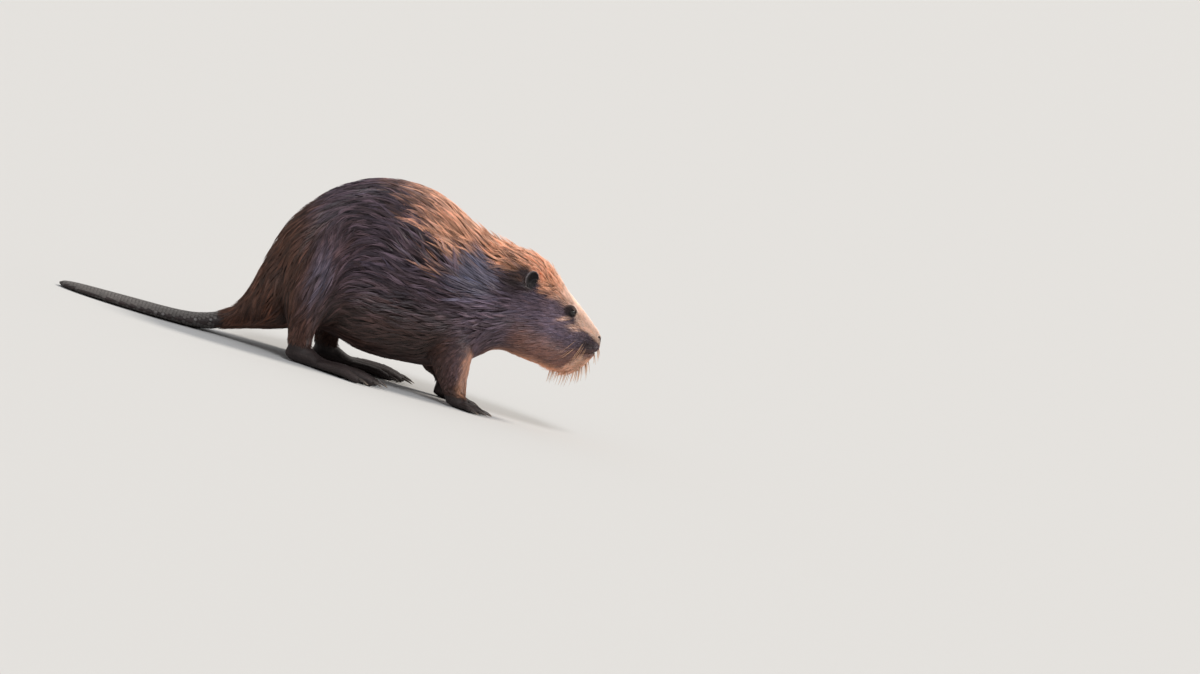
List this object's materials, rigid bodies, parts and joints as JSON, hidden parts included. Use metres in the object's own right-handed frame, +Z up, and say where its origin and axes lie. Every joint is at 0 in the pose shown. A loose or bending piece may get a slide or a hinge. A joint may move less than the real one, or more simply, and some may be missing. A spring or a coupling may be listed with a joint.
{
  "type": "beaver model",
  "caption": "Life-size model of a walking beaver with an arched back, low wedge-shaped head, shaggy brown coat, webbed hind feet and a flat scaly tail.",
  "frame": {"origin": "on the ground, under the middle of the whole animal's box", "axes": "+X forward along the animal to its nose, +Y to its left, +Z up"},
  "size_m": [0.8372, 0.3314, 0.316],
  "materials": {
    "fur": "dense brown coat of guard hairs, damp and lying back",
    "bare_skin": "dark bare skin, slightly moist",
    "tail_skin": "dark scaly skin",
    "horn": "dark smooth claw horn",
    "eyeball": "wet near-black eye"
  },
  "bodies": {
    "root": {"trunk": "fur", "neck": "fur", "head": "fur", "tail_base": "fur", "nose": "bare_skin", "tail": "tail_skin", "hind_leg_right": "fur", "fore_leg_right": "fur", "hind_foot_right": "bare_skin", "fore_foot_right": "bare_skin", "ear_right": "fur", "eye_right": "eyeball", "hind_leg_left": "fur", "fore_leg_left": "fur", "hind_foot_left": "bare_skin", "fore_foot_left": "bare_skin", "ear_left": "fur", "eye_left": "eyeball", "hind_right_claw_1": "horn", "hind_right_claw_2": "horn", "hind_right_claw_3": "horn", "hind_right_claw_4": "horn", "hind_right_claw_5": "horn", "fore_right_claw_1": "horn", "fore_right_claw_2": "horn", "fore_right_claw_3": "horn", "fore_right_claw_4": "horn", "fore_right_claw_5": "horn", "hind_left_claw_1": "horn", "hind_left_claw_2": "horn", "hind_left_claw_3": "horn", "hind_left_claw_4": "horn", "hind_left_claw_5": "horn", "fore_left_claw_1": "horn", "fore_left_claw_2": "horn", "fore_left_claw_3": "horn", "fore_left_claw_4": "horn", "fore_left_claw_5": "horn"}
  },
  "joints": []
}
